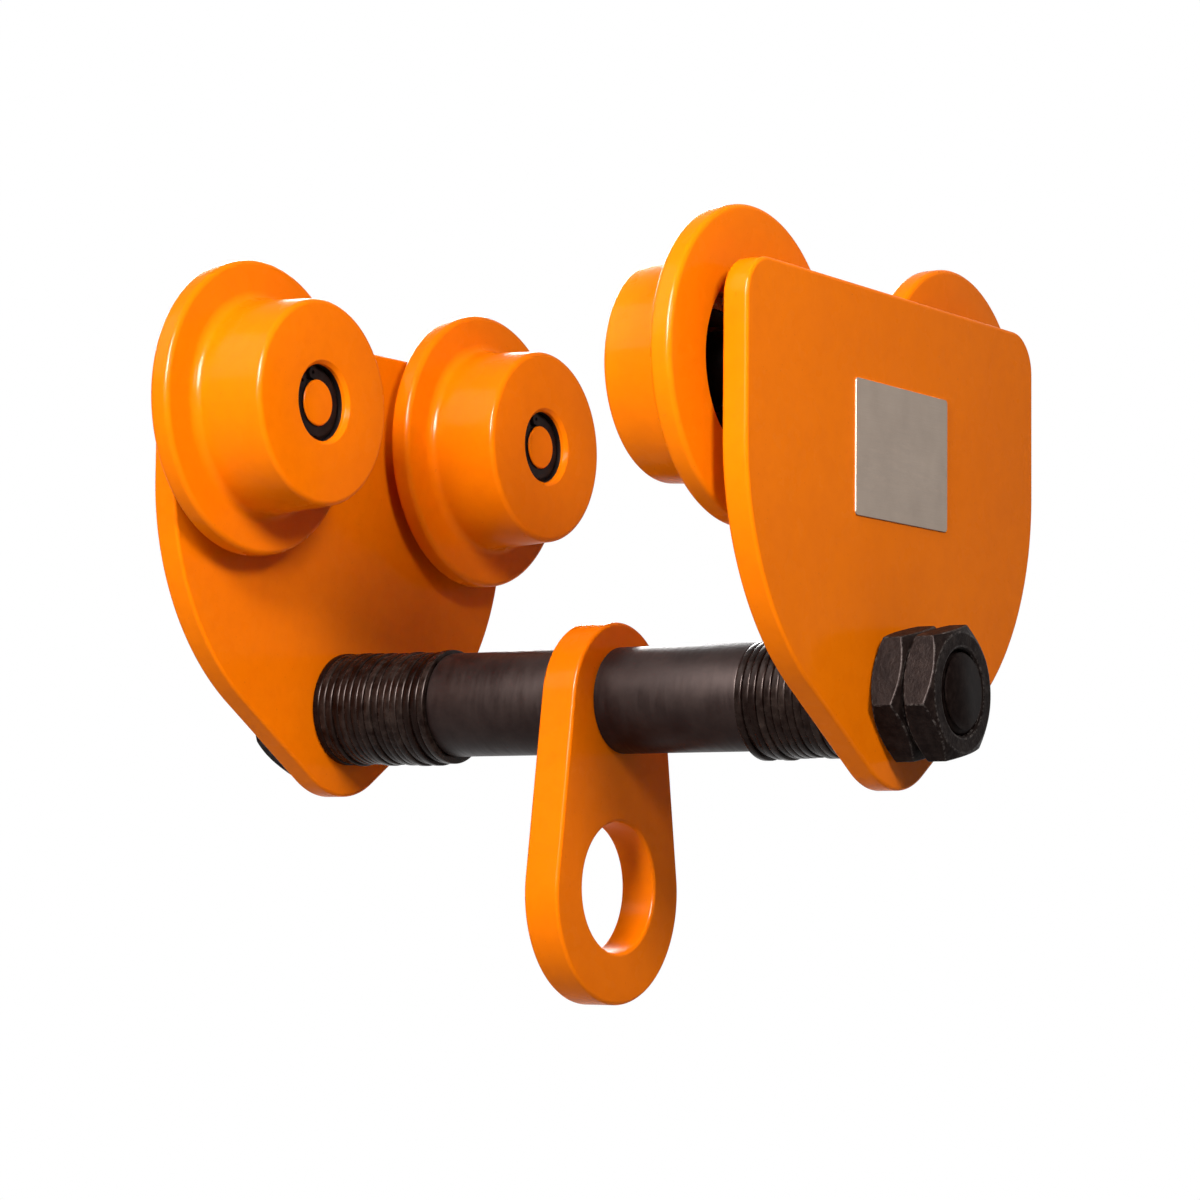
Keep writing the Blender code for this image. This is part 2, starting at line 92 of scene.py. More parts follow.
def node_middle(node):
    """The middle of a solid, in millimetres."""
    low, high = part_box(node)
    return (low + high) / 2 / MM


def node_size(node):
    """How far a solid reaches along each axis, in millimetres."""
    low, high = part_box(node)
    return (high - low) / MM


def node_corners(node):
    """The lowest and the highest corner of the box round a solid, in millimetres."""
    return [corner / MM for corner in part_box(node)]


SHAFT_Z = node_middle("hex_nut").z


def look_from_photograph():
    """Stands the camera where the photograph was taken from."""
    turn, rise, roll = (radians(a) for a in (CAMERA_TURN_DEG, CAMERA_RISE_DEG, CAMERA_ROLL_DEG))
    ahead = Vector((-sin(turn) * cos(rise), cos(turn) * cos(rise), -sin(rise)))
    level = Vector((cos(turn), sin(turn), 0))
    upright = level.cross(ahead)
    right = level * cos(roll) + upright * sin(roll)
    up = upright * cos(roll) - level * sin(roll)
    step = CAMERA_DISTANCE / CAMERA_FOCAL_PX
    across = (SHAFT_PIXEL[0] - PICTURE_PX / 2) * step
    down = (SHAFT_PIXEL[1] - PICTURE_PX / 2) * step
    eye = Vector((0, 0, SHAFT_Z)) - ahead * CAMERA_DISTANCE - right * across + up * down
    data = bpy.data.cameras.new("photo_camera")
    data.sensor_width = 36
    data.lens = CAMERA_FOCAL_PX / PICTURE_PX * data.sensor_width
    data.clip_start = 0.01
    data.clip_end = 100
    camera = bpy.data.objects.new("photo_camera", data)
    bpy.context.scene.collection.objects.link(camera)
    axes = Matrix((right, up, -ahead)).transposed().to_4x4()
    camera.matrix_world = Matrix.Translation(eye * MM) @ axes
    bpy.context.scene.camera = camera


def area_lamp(name, place, width, height, power, gloss_only=False):
    """An oval lamp that faces the trolley and isn't itself in the picture."""
    data = bpy.data.lights.new(name, "AREA")
    data.shape = "ELLIPSE"
    data.size = width
    data.size_y = height
    data.energy = power
    lamp = bpy.data.objects.new(name, data)
    bpy.context.scene.collection.objects.link(lamp)
    lamp.location = place
    lamp.rotation_euler = (-Vector(place)).to_track_quat("-Z", "Y").to_euler()
    lamp.visible_camera = False
    lamp.visible_diffuse = not gloss_only


def white_room():
    """A world that cameras and mirrors see as white, and that lights dull surfaces softly."""
    world = bpy.data.worlds.new("white_room")
    bpy.context.scene.world = world
    world.use_nodes = True
    tree = world.node_tree
    tree.nodes.clear()
    out = tree.nodes.new("ShaderNodeOutputWorld")
    shades = []
    for strength in (ROOM_LIGHT, 1.0):
        shade = tree.nodes.new("ShaderNodeBackground")
        shade.inputs["Color"].default_value = (1, 1, 1, 1)
        shade.inputs["Strength"].default_value = strength
        shades.append(shade)
    soft, seen = shades
    mix_shaders(tree, seen_rays(tree), soft, seen, out)


def seen_rays(tree):
    """1 for rays of the camera, of reflections and of glass, 0 for the rest."""
    path = tree.nodes.new("ShaderNodeLightPath").outputs
    camera_or_gloss = math_node(tree, "MAXIMUM", path["Is Camera Ray"], path["Is Glossy Ray"])
    return math_node(tree, "MAXIMUM", camera_or_gloss, path["Is Transmission Ray"])


def math_node(tree, operation, first, second):
    """The result of an operation on two numbers or sockets."""
    made = tree.nodes.new("ShaderNodeMath")
    made.operation = operation
    for socket, value in zip(made.inputs, (first, second)):
        if isinstance(value, (int, float)):
            socket.default_value = value
        else:
            tree.links.new(value, socket)
    return made.outputs[0]


def mix_shaders(tree, share, first, second, out):
    """The first shader where the share is 0 and the second where it is 1, led to the output."""
    mix = tree.nodes.new("ShaderNodeMixShader")
    for socket, source in zip(mix.inputs, (share, first.outputs[0], second.outputs[0])):
        tree.links.new(source, socket)
    tree.links.new(mix.outputs[0], out.inputs["Surface"])


def pale_floor():
    """A wide pale floor well below the hanging trolley. It keeps a soft shadow."""
    bm = bmesh.new()
    bmesh.ops.create_circle(bm, cap_ends=True, radius=FLOOR_R, segments=96)
    mesh = bpy.data.meshes.new("pale_floor")
    bm.to_mesh(mesh)
    bm.free()
    floor = bpy.data.objects.new("pale_floor", mesh)
    bpy.context.scene.collection.objects.link(floor)
    floor.location.z = -FLOOR_DROP
    surface = bpy.data.materials.new("floor_white")
    surface.use_nodes = True
    tree = surface.node_tree
    tree.nodes.clear()
    out = tree.nodes.new("ShaderNodeOutputMaterial")
    dull = tree.nodes.new("ShaderNodeBsdfDiffuse")
    dull.inputs["Color"].default_value = (FLOOR_GREY, FLOOR_GREY, FLOOR_GREY, 1)
    glow = tree.nodes.new("ShaderNodeEmission")
    glow.inputs["Color"].default_value = (1, 1, 1, 1)
    away = tree.nodes.new("ShaderNodeVectorMath")
    away.operation = "LENGTH"
    tree.links.new(tree.nodes.new("ShaderNodeTexCoord").outputs["Object"], away.inputs[0])
    fade = tree.nodes.new("ShaderNodeMapRange")
    fade.inputs["From Min"].default_value = FLOOR_SHADOW_REACH
    fade.inputs["From Max"].default_value = FLOOR_LIT_REACH
    fade.inputs["To Min"].default_value = FLOOR_SHADOW_GLOW
    fade.inputs["To Max"].default_value = 1.0
    tree.links.new(away.outputs["Value"], fade.inputs["Value"])
    share = math_node(tree, "MULTIPLY", seen_rays(tree), fade.outputs["Result"])
    mix_shaders(tree, share, dull, glow, out)
    mesh.materials.append(surface)


class Finish:
    """A material under construction: a Principled shader and the nodes that feed it."""

    def __init__(self, name, colour, roughness, metallic=0.0):
        self.material = bpy.data.materials.new(name)
        self.material.use_nodes = True
        self.tree = self.material.node_tree
        self.shader = self.tree.nodes["Principled BSDF"]
        self.shader.inputs["Base Color"].default_value = (*colour, 1)
        self.shader.inputs["Roughness"].default_value = roughness
        self.shader.inputs["Metallic"].default_value = metallic
        self.place = self.tree.nodes.new("ShaderNodeTexCoord").outputs["Object"]
        self.bump = None

    def shine(self, level, tint=(1, 1, 1)):
        """How strongly the surface mirrors its surroundings, and in which colour."""
        self.shader.inputs["Specular IOR Level"].default_value = level
        self.shader.inputs["Specular Tint"].default_value = (*tint, 1)

    def node(self, kind, **sockets):
        """A node with these values in its sockets."""
        made = self.tree.nodes.new(kind)
        for name, value in sockets.items():
            made.inputs[name.replace("_", " ")].default_value = value
        return made

    def link(self, source, target):
        self.tree.links.new(source, target)

    def stretched(self, x, y, z):
        """Object coordinates, stretched along each axis."""
        mapping = self.tree.nodes.new("ShaderNodeMapping")
        mapping.inputs["Scale"].default_value = (x, y, z)
        self.link(self.place, mapping.inputs["Vector"])
        return mapping.outputs["Vector"]

    def noise(self, grain_mm, detail=3, roughness=0.55, vector=None):
        """Noise whose spots are about this many millimetres across."""
        scale = 1 / (grain_mm * MM)
        made = self.node("ShaderNodeTexNoise", Scale=scale, Detail=detail, Roughness=roughness)
        self.link(vector or self.place, made.inputs["Vector"])
        return made.outputs["Fac"]

    def ramp(self, source, *stops):
        """Maps a factor through stops of (position, value or colour)."""
        made = self.tree.nodes.new("ShaderNodeValToRGB")
        points = made.color_ramp.elements
        while len(points) < len(stops):
            points.new(0.5)
        for point, (position, value) in zip(points, stops):
            point.position = position
            point.color = (*value, 1) if isinstance(value, tuple) else (value, value, value, 1)
        self.link(source, made.inputs["Fac"])
        return made.outputs["Color"]

    def blend(self, share, low, high):
        """Mixes two colours or sockets."""
        made = self.tree.nodes.new("ShaderNodeMix")
        made.data_type = "RGBA"
        for socket, value in ((made.inputs["A"], low), (made.inputs["B"], high)):
            if isinstance(value, tuple):
                socket.default_value = (*value, 1)
            else:
                self.link(value, socket)
        self.link(share, made.inputs["Factor"])
        return made.outputs["Result"]

    def colour(self, source):
        self.link(source, self.shader.inputs["Base Color"])

    def roughness(self, source):
        self.link(source, self.shader.inputs["Roughness"])

    def relief(self, height, depth_mm):
        """Adds a bump of this depth on top of those already there."""
        made = self.node("ShaderNodeBump", Strength=1.0, Distance=depth_mm * MM)
        self.link(height, made.inputs["Height"])
        if self.bump is not None:
            self.link(self.bump, made.inputs["Normal"])
        self.bump = made.outputs["Normal"]
        self.link(self.bump, self.shader.inputs["Normal"])


def orange_enamel(name, peel_mm=2.2, peel_depth=0.035):
    """Sprayed gloss enamel: nearly even orange with a fine peel, over slightly uneven metal."""
    paint = Finish(name, ENAMEL, 0.3)
    cloud = paint.ramp(paint.noise(38, detail=2), (0.3, ENAMEL_DEEP), (0.7, ENAMEL))
    thin = paint.ramp(paint.noise(5, detail=5, roughness=0.6), (0.42, 0.0), (0.8, 0.5))
    dust = paint.ramp(paint.noise(0.9, detail=2), (0.7, 0.0), (0.78, 0.6))
    paint.colour(paint.blend(dust, paint.blend(thin, cloud, ENAMEL_THIN), ENAMEL_DUST))
    paint.shine(0.01)
    paint.shader.inputs["Coat Weight"].default_value = 0.019
    paint.shader.inputs["Coat IOR"].default_value = 2.0
    paint.shader.inputs["Coat Roughness"].default_value = 0.12
    dull = paint.noise(16, detail=4)
    paint.roughness(paint.ramp(dull, (0.3, 0.22), (0.75, 0.34)))
    paint.relief(paint.noise(peel_mm, detail=2), peel_depth)
    paint.relief(paint.noise(14, detail=2), 0.12)
    paint.link(paint.bump, paint.shader.inputs["Coat Normal"])
    return paint.material


def blackened_tube():
    """Drawn tube with a dark oxide skin and faint rub marks along and round it."""
    steel = Finish("tube_oxide", TUBE_BLACK, 0.42)
    steel.shine(0.125, OXIDE_SHINE)
    patches = steel.noise(11, detail=5, roughness=0.65)
    rubbed = steel.ramp(patches, (0.42, 0.0), (0.78, 1.0))
    steel.colour(steel.blend(rubbed, TUBE_BLACK, TUBE_BLACK_WORN))
    turned = steel.noise(1.2, detail=3, vector=steel.stretched(1.0, 0.12, 0.12))
    steel.roughness(steel.ramp(turned, (0.25, 0.36), (0.8, 0.52)))
    steel.relief(turned, 0.015)
    steel.relief(steel.noise(5, detail=4), 0.05)
    return steel.material


def blackened_washers():
    """Stamped washers: every one has its own share of bright rubbed steel."""
    steel = Finish("washer_oxide", WASHER_BLACK, 0.38)
    steel.shine(0.06, OXIDE_SHINE)
    own = steel.tree.nodes.new("ShaderNodeAttribute")
    own.attribute_name = "washer_wear"
    patches = steel.noise(4, detail=4)
    rubbed = steel.ramp(patches, (0.35, 0.0), (0.7, 1.0))
    share = math_node(steel.tree, "MULTIPLY", rubbed, own.outputs["Fac"])
    steel.colour(steel.blend(share, WASHER_BLACK, WASHER_RUBBED))
    steel.roughness(steel.ramp(steel.noise(2, detail=3), (0.3, 0.18), (0.75, 0.34)))
    steel.relief(steel.noise(1.5, detail=3), 0.03)
    return steel.material


def forged_nut():
    """Black forged nuts: rough grey flats with pits, and rubbed corners."""
    steel = Finish("nut_oxide", NUT_BLACK, 0.5)
    steel.shine(0.026, OXIDE_SHINE)
    patches = steel.noise(3.2, detail=6, roughness=0.7)
    share = steel.ramp(patches, (0.4, 0.0), (0.72, 1.0))
    steel.colour(steel.blend(share, NUT_BLACK, WORN_BLACK_AND_SHADE))
    steel.roughness(steel.ramp(patches, (0.3, 0.58), (0.8, 0.34)))
    steel.relief(steel.noise(0.9, detail=4, roughness=0.65), 0.16)
    steel.relief(steel.noise(4, detail=3), 0.2)
    return steel.material


def rubbed_edge():
    """The edges of nuts and head, where spanners took the black off in places."""
    steel = Finish("rubbed_edge_steel", RUBBED_EDGE, 0.45)
    steel.shine(0.04, OXIDE_SHINE)
    patches = steel.noise(1.3, detail=5, roughness=0.7)
    steel.colour(steel.ramp(patches, (0.46, NUT_BLACK), (0.66, RUBBED_EDGE)))
    steel.relief(patches, 0.05)
    return steel.material


def threaded_steel():
    """The rod's black steel, a little worn on its thread."""
    steel = Finish("shaft_steel_oxide", NUT_BLACK, 0.42)
    steel.shine(0.015, OXIDE_SHINE)
    patches = steel.noise(2.5, detail=5)
    share = steel.ramp(patches, (0.45, 0.0), (0.8, 0.6))
    steel.colour(steel.blend(share, NUT_BLACK, WORN_BLACK_AND_SHADE))
    steel.relief(steel.noise(1.4, detail=3), 0.03)
    return steel.material


def ground_steel(name, roughness=0.22):
    """Ground bearing steel: fine marks run round the ring."""
    steel = Finish(name, GROUND_STEEL, roughness, 1.0)
    marks = steel.noise(0.6, detail=2, vector=steel.stretched(1.0, 0.2, 0.2))
    steel.roughness(steel.ramp(marks, (0.3, roughness - 0.06), (0.7, roughness + 0.1)))
    steel.relief(marks, 0.004)
    return steel.material


def painted_shade_metal():
    """Dark steel laid on as painted shade: the bearings' inner rings, the deep wall of each wheel's hole
    and the axles short of their orange tips.
    """
    steel = Finish("inner_ring_painted_shade", SEAL_BLACK_AND_SHADE, 0.3)
    steel.shine(0.1, OXIDE_SHINE)
    marks = steel.noise(0.6, detail=2, vector=steel.stretched(1.0, 0.2, 0.2))
    steel.roughness(steel.ramp(marks, (0.3, 0.28), (0.7, 0.45)))
    steel.colour(steel.ramp(steel.noise(3, detail=4), (0.35, SEAL_BLACK_AND_SHADE), (0.8, WORN_BLACK_AND_SHADE)))
    steel.relief(marks, 0.004)
    return steel.material


def spring_steel():
    """The circlips' black spring steel."""
    steel = Finish("circlip_oxide", SPRING_BLACK, 0.35)
    steel.shine(0.05, OXIDE_SHINE)
    steel.colour(steel.ramp(steel.noise(2, detail=3), (0.35, SPRING_BLACK), (0.75, WORN_BLACK_AND_SHADE)))
    steel.roughness(steel.ramp(steel.noise(1.0, detail=3), (0.3, 0.28), (0.7, 0.48)))
    steel.relief(steel.noise(0.8, detail=2), 0.01)
    return steel.material


def seal_rubber():
    """Dull black rubber."""
    rubber = Finish("seal_rubber", SEAL_BLACK_AND_SHADE, 0.6)
    rubber.shine(0.1)
    rubber.colour(rubber.ramp(rubber.noise(3, detail=3), (0.3, SEAL_BLACK_AND_SHADE), (0.8, WORN_BLACK_AND_SHADE)))
    rubber.roughness(rubber.ramp(rubber.noise(1.5, detail=3), (0.3, 0.5), (0.7, 0.72)))
    rubber.relief(rubber.noise(0.7, detail=2), 0.01)
    return rubber.material


def rating_foil():
    """Bare satin foil with a fine grain along its length and a few faint handling marks."""
    foil = Finish("rating_foil", FOIL_GREY, 0.42, 0.75)
    grain = foil.noise(0.35, detail=2, vector=foil.stretched(1.0, 0.04, 1.0))
    foil.roughness(foil.ramp(grain, (0.3, 0.36), (0.7, 0.5)))
    foil.colour(foil.ramp(foil.noise(9, detail=3), (0.3, FOIL_SHADE), (0.7, FOIL_GREY)))
    foil.relief(grain, 0.006)
    foil.relief(foil.noise(12, detail=2), 0.04)
    return foil.material


def settle(name, bm, finish, smooth_deg=40):
    """A mesh in millimetres becomes a piece in metres: merged, facing out, smooth where it is round."""
    bmesh.ops.remove_doubles(bm, verts=bm.verts, dist=1e-4)
    bmesh.ops.recalc_face_normals(bm, faces=bm.faces)
    bmesh.ops.scale(bm, vec=Vector((MM, MM, MM)), verts=bm.verts)
    mesh = bpy.data.meshes.new(name)
    bm.to_mesh(mesh)
    bm.free()
    mesh.shade_smooth()
    mesh.set_sharp_from_angle(angle=radians(smooth_deg))
    mesh.materials.append(finish)
    piece = bpy.data.objects.new(name, mesh)
    bpy.context.scene.collection.objects.link(piece)
    return piece


def flatten(piece):
    """Applies a piece's modifiers."""
    bpy.context.view_layer.update()
    graph = bpy.context.evaluated_depsgraph_get()
    shaped = piece.evaluated_get(graph)
    mesh = bpy.data.meshes.new_from_object(shaped, preserve_all_data_layers=True, depsgraph=graph)
    piece.modifiers.clear()
    piece.data = mesh


def even_faces(piece):
    """Keeps broad flat faces flat beside rounded edges."""
    weighted = piece.modifiers.new("even_faces", "WEIGHTED_NORMAL")
    weighted.keep_sharp = True
    weighted.weight = 100
    flatten(piece)


def dress(piece, body, slot, *nodes):
    """Puts a finished piece on its body, in place of the solids it stands for."""
    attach(piece, body)
    if nodes:
        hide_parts(*nodes)


def arc(centre, radius, start, end, steps):
    """Points on an arc, its two ends included."""
    span = end - start
    angles = [start + span * step / steps for step in range(steps + 1)]
    return [(centre[0] + radius * cos(a), centre[1] + radius * sin(a)) for a in angles]


def rounded(corners, steps=5):
    """Closes a profile of (x, radius, rounding) corners, with an arc where there is a rounding."""
    points = []
    count = len(corners)
    for index, (x, r, rounding) in enumerate(corners):
        here = Vector((x, r))
        if not rounding:
            points.append((x, r))
            continue
        before = (Vector(corners[index - 1][:2]) - here).normalized()
        after = (Vector(corners[(index + 1) % count][:2]) - here).normalized()
        half = acos(max(-1, min(1, before.dot(after)))) / 2
        centre = here + (before + after).normalized() * (rounding / sin(half))
        start = here + before * (rounding / tan(half)) - centre
        end = here + after * (rounding / tan(half)) - centre
        first = atan2(start.y, start.x)
        sweep = (atan2(end.y, end.x) - first + pi) % (2 * pi) - pi
        points += arc(centre, rounding, first, first + sweep, steps)
    return points


def lathe(profile, sides):
    """Turns a closed profile of (x, radius) points about the X axis."""
    bm = bmesh.new()
    points = [bm.verts.new((x, 0, max(r, 0))) for x, r in profile]
    edges = [bm.edges.new(pair) for pair in zip(points, points[1:] + points[:1])]
    section = points + edges
    bmesh.ops.spin(
        bm, geom=section, cent=(0, 0, 0), axis=(1, 0, 0), angle=2 * pi, steps=sides, use_merge=True
    )
    bmesh.ops.remove_doubles(bm, verts=bm.verts, dist=1e-4)
    bmesh.ops.dissolve_degenerate(bm, edges=bm.edges, dist=1e-5)
    return bm


def turned(name, corners, place, finish, sides=128, way=1, steps=5):
    """A turned piece at a place, with its profile laid off towards +X or towards -X."""
    bm = lathe([(way * x, r) for x, r in rounded(corners, steps)], sides)
    bmesh.ops.translate(bm, vec=place, verts=bm.verts)
    return settle(name, bm, finish)


# Wheel, from its front face, with its bearing and seals. A little way into the hole the orange gives way
# to dark steel, painted shade
TREAD_W = 23.5
TREAD_FRONT_R = 31.0
TREAD_ROOT_R = 32.5
FLANGE_R = 44.7
WHEEL_W = 30.5
FRONT_HOLE_R = 11.6
FRONT_WALL_T = 4.2
HOLE_CHAMFER = 1.1
SHADED_WALL_DEPTH = 2.3
SHADED_WALL_R = FRONT_HOLE_R + 0.5
SEAT_R = 21.3
SEAT_END = 19.5
RECESS_R = 26.0
BEARING_W = 13.0
BEARING_FRONT = FRONT_WALL_T + 0.3
SEAL_INNER_R = 12.0
SEAL_OUTER_R = 16.8
SEAL_T = 0.5
SEAL_INSET = 0.35
SEAL_EDGE = 0.15

# Axle stub, from the side plate's inner face
COLLAR_L = 17.7
COLLAR_R = 10.5
JOURNAL_R = 7.5
SPIGOT_R = 9.0
SPIGOT_L = 6.2
GROOVE_R = 6.9
GROOVE_START = 31.0
GROOVE_W = 1.7
AXLE_END = 33.35
AXLE_TIP_R = 6.6
AXLE_LIP_R = 7.15
AXLE_L = 33.9
AXLE_SHADE_REACH = GROOVE_START + GROOVE_W + 0.1
PLATE_GAP = 0.3


def make_wheel(tag, way, enamel, shade_material):
    """Turned from the front hole, past its wall, which is dark with painted shade beyond a short way in,
    round the flange and along the tread.
    """
    node = "wheel_" + tag
    middle = node_middle(node)
    face = Vector((middle.x - way * WHEEL_W / 2, middle.y, middle.z))
    corners = [
        (0, FRONT_HOLE_R + HOLE_CHAMFER, 0.4),
        (HOLE_CHAMFER, FRONT_HOLE_R, 0.4),
        (SHADED_WALL_DEPTH, FRONT_HOLE_R, 0),
        (FRONT_WALL_T, FRONT_HOLE_R, 0.3),
        (FRONT_WALL_T, SEAT_R, 0),
        (SEAT_END, SEAT_R, 0.4),
        (SEAT_END, RECESS_R, 1.0),
        (WHEEL_W, RECESS_R, 0.6),
        (WHEEL_W, FLANGE_R, 1.6),
        (TREAD_W, FLANGE_R, 1.8),
        (TREAD_W, TREAD_ROOT_R, 3.2),
        (0, TREAD_FRONT_R, 1.8),
    ]
    wheel = turned("painted_wheel_" + tag, corners, face, enamel, sides=160, way=way, steps=6)
    # The hole's wall deeper in than the chamfer takes the dark steel: painted shade
    wheel.data.materials.append(shade_material)
    for polygon in wheel.data.polygons:
        spot = polygon.center / MM - face
        if hypot(spot.y, spot.z) < SHADED_WALL_R and abs(spot.x) > SHADED_WALL_DEPTH:
            polygon.material_index = 1
    dress(wheel, f"wheel_{tag}_body", "wheel_paint", node)
    return face


def make_seals(tag, way, face, rubber):
    """The bearing's two seals close the gap between its rings."""
    corners = [
        (0, SEAL_INNER_R, SEAL_EDGE),
        (0, SEAL_OUTER_R, SEAL_EDGE),
        (SEAL_T, SEAL_OUTER_R, SEAL_EDGE),
        (SEAL_T, SEAL_INNER_R, SEAL_EDGE),
    ]
    for side, depth in (("front", SEAL_INSET), ("back", BEARING_W - SEAL_INSET - SEAL_T)):
        name = f"bearing_seal_{side}_{tag}"
        place = face + Vector((way * (BEARING_FRONT + depth), 0, 0))
        seal = turned(name, corners, place, rubber, sides=96, way=way, steps=2)
        dress(seal, f"wheel_{tag}_body", "spring_steel")


def make_axle(tag, way, enamel, shade_material):
    """The stub: a collar, the journal, a circlip groove, and the tip, which alone is orange; the rest is
    dark steel, painted shade in the gap by the plate and beside the circlip.
    """
    node = "axle_" + tag
    low, high = node_corners(node)
    end_x = low.x if way > 0 else high.x
    plate_x = end_x + way * AXLE_L
    middle = node_middle(node)
    place = (plate_x, middle.y, middle.z)
    corners = [
        (-SPIGOT_L, 0, 0),
        (-SPIGOT_L, SPIGOT_R, 0.3),
        (PLATE_GAP, SPIGOT_R, 0),
        (PLATE_GAP, COLLAR_R, 0.3),
        (COLLAR_L, COLLAR_R, 0.6),
        (COLLAR_L, JOURNAL_R, 0.4),
        (GROOVE_START, JOURNAL_R, 0.15),
        (GROOVE_START, GROOVE_R, 0),
        (GROOVE_START + GROOVE_W, GROOVE_R, 0),
        (GROOVE_START + GROOVE_W, AXLE_LIP_R, 0.15),
        (AXLE_END, AXLE_TIP_R, 0.5),
        (AXLE_END, 0, 0),
    ]
    axle = turned("painted_axle_" + tag, corners, place, enamel, sides=96, way=-way, steps=4)
    # Faces short of the tip take the dark steel: painted shade
    axle.data.materials.append(shade_material)
    for polygon in axle.data.polygons:
        if abs(polygon.center.x / MM - plate_x) < AXLE_SHADE_REACH:
            polygon.material_index = 1
    dress(axle, "frame", "axle_paint", node)


# Side plates, measured from the shaft
PLATE_T = 8.0
PLATE_HALF_W = 85.8
PLATE_TOP_RISE = 115.0
PLATE_CORNER_R = 12.0
PLATE_SHOULDER_R = 78.0
PLATE_SHOULDER_RISE = 65.0
PLATE_BOSS_R = 27.6
PLATE_BORE_R = 12.5
PLATE_ROUNDING = 1.1

# Lug, measured from the middle of its round top
LUG_T = 12.0
LUG_BORE_R = 13.3
LUG_BORE_RISE = 0.7
LUG_TOP_R = 25.4
LUG_FOOT_R = 33.3
LUG_FOOT_DROP = 55.8
EYE_R = 19.6
EYE_DROP = 54.1
LUG_ROUNDING = 1.1


def plate_outline():
    """Straight top, upright sides, a wide shoulder and a straight flank down to the shaft's boss."""
    corner = (PLATE_HALF_W - PLATE_CORNER_R, PLATE_TOP_RISE - PLATE_CORNER_R)
    shoulder = (PLATE_HALF_W - PLATE_SHOULDER_R, PLATE_SHOULDER_RISE)
    lean = acos((PLATE_BOSS_R - PLATE_SHOULDER_R) / hypot(*shoulder))
    flank = atan2(shoulder[1], shoulder[0]) - lean
    half = arc(corner, PLATE_CORNER_R, pi / 2, 0, 16)
    half += arc(shoulder, PLATE_SHOULDER_R, 0, flank, 40)
    half += arc((0, 0), PLATE_BOSS_R, flank, -pi / 2, 32)
    return half + [(-y, z) for y, z in reversed(half[:-1])]


def lug_outline():
    """A pear: a small round top and a wide round foot, joined by straight flanks."""
    lean = asin((LUG_FOOT_R - LUG_TOP_R) / LUG_FOOT_DROP)
    half = arc((0, 0), LUG_TOP_R, pi / 2, lean, 40)
    half += arc((0, -LUG_FOOT_DROP), LUG_FOOT_R, lean, -pi / 2, 56)
    return half + [(-y, z) for y, z in reversed(half[1:-1])]


def cut_plate(name, outline, holes, thickness, rounding, finish, place):
    """A plate standing in the YZ plane, cut from an outline with round holes, its edges rounded."""
    curve = bpy.data.curves.new(name, "CURVE")
    curve.dimensions = "2D"
    curve.fill_mode = "BOTH"
    curve.extrude = (thickness / 2 - rounding) * MM
    curve.bevel_depth = rounding * MM
    curve.bevel_resolution = 3
    curve.offset = -rounding * MM
    loops = [outline] + [arc(centre, radius, 0, 2 * pi, 96)[:-1] for centre, radius in holes]
    for loop in loops:
        spline = curve.splines.new("POLY")
        spline.points.add(len(loop) - 1)
        spline.use_cyclic_u = True
        for point, (y, z) in zip(spline.points, loop):
            point.co = (y * MM, z * MM, 0, 1)
    shape = bpy.data.objects.new(name, curve)
    bpy.context.scene.collection.objects.link(shape)
    graph = bpy.context.evaluated_depsgraph_get()
    mesh = bpy.data.meshes.new_from_object(shape.evaluated_get(graph))
    bpy.data.objects.remove(shape)
    standing = Matrix(((0, 0, 1, 0), (1, 0, 0, 0), (0, 1, 0, 0), (0, 0, 0, 1)))
    bm = bmesh.new()
    bm.from_mesh(mesh)
    bmesh.ops.transform(bm, matrix=Matrix.Scale(1 / MM, 4) @ standing, verts=bm.verts)
    bmesh.ops.translate(bm, vec=place, verts=bm.verts)
    return settle(name, bm, finish, smooth_deg=30)


def make_side_plate(side, enamel):
    """A side plate, which carries two wheels and the shaft."""
    node = "side_plate_" + side
    name = "painted_plate_" + side
    place = Vector((node_middle(node).x, 0, SHAFT_Z))
    holes = [((0, 0), PLATE_BORE_R)]
    plate = cut_plate(name, plate_outline(), holes, PLATE_T, PLATE_ROUNDING, enamel, place)
    even_faces(plate)
    dress(plate, "frame", "plate_paint", node)


def make_lug(enamel):
    """The lug, hanging from the shaft by its bore, with the load's eye below."""
    top = node_corners("lug")[1].z
    place = Vector((node_middle("lug").x, 0, top - LUG_TOP_R))
    holes = [((0, LUG_BORE_RISE), LUG_BORE_R), ((0, -EYE_DROP), EYE_R)]
    lug = cut_plate("painted_lug", lug_outline(), holes, LUG_T, LUG_ROUNDING, enamel, place)
    even_faces(lug)
    dress(lug, "lug_body", "lug_paint", "lug")


# Shaft, nuts, tubes and washers
SHAFT_R = 12.0
THREAD_PITCH = 3.0
THREAD_DEPTH = 1.7
THREAD_L = 32.0
THREAD_STEEPNESS = 2.4
THREAD_STEP = 0.3
PLAIN_STEP = 6.0
ROD_SIDES = 72
SHAFT_CHAMFER = 1.4
NUT_AF = 36.0
NUT_FACE_R = NUT_AF / 2 * 0.95
NUT_CHAMFER_DEG = 30
NUT_T = 10.0
NUT_BORE_R = 12.3
NUT_COUNTERSINK = 0.8
NUT_WORN_EDGE = 0.35
NUT_WORN_ANGLE_DEG = 22
NUT_TURN_DEG = 12.4
HEAD_T = 15.0
HEAD_TURN_DEG = 31.0
TUBE_R = 16.0
TUBE_RISE = 0.7
TUBE_BORE_R = 12.8
TUBE_EDGE = 0.5
TUBE_BORE_EDGE = 0.2
WASHERS_SHOWN = {"left": 17, "right": 15}
WASHER_DROP = {"left": 0.4, "right": 0.6}
WASHER_R = 17.5
WASHER_BORE_R = 14.0
WASHER_GAP = 0.08
WASHER_EDGE = 0.35
WASHER_PLAY = 0.4
WASHER_LEAST_SIZE = 0.985
WASHER_MOST_SIZE = 1.012
WASHER_SIDES = 72
FIRST_WASHER_SEED = 11


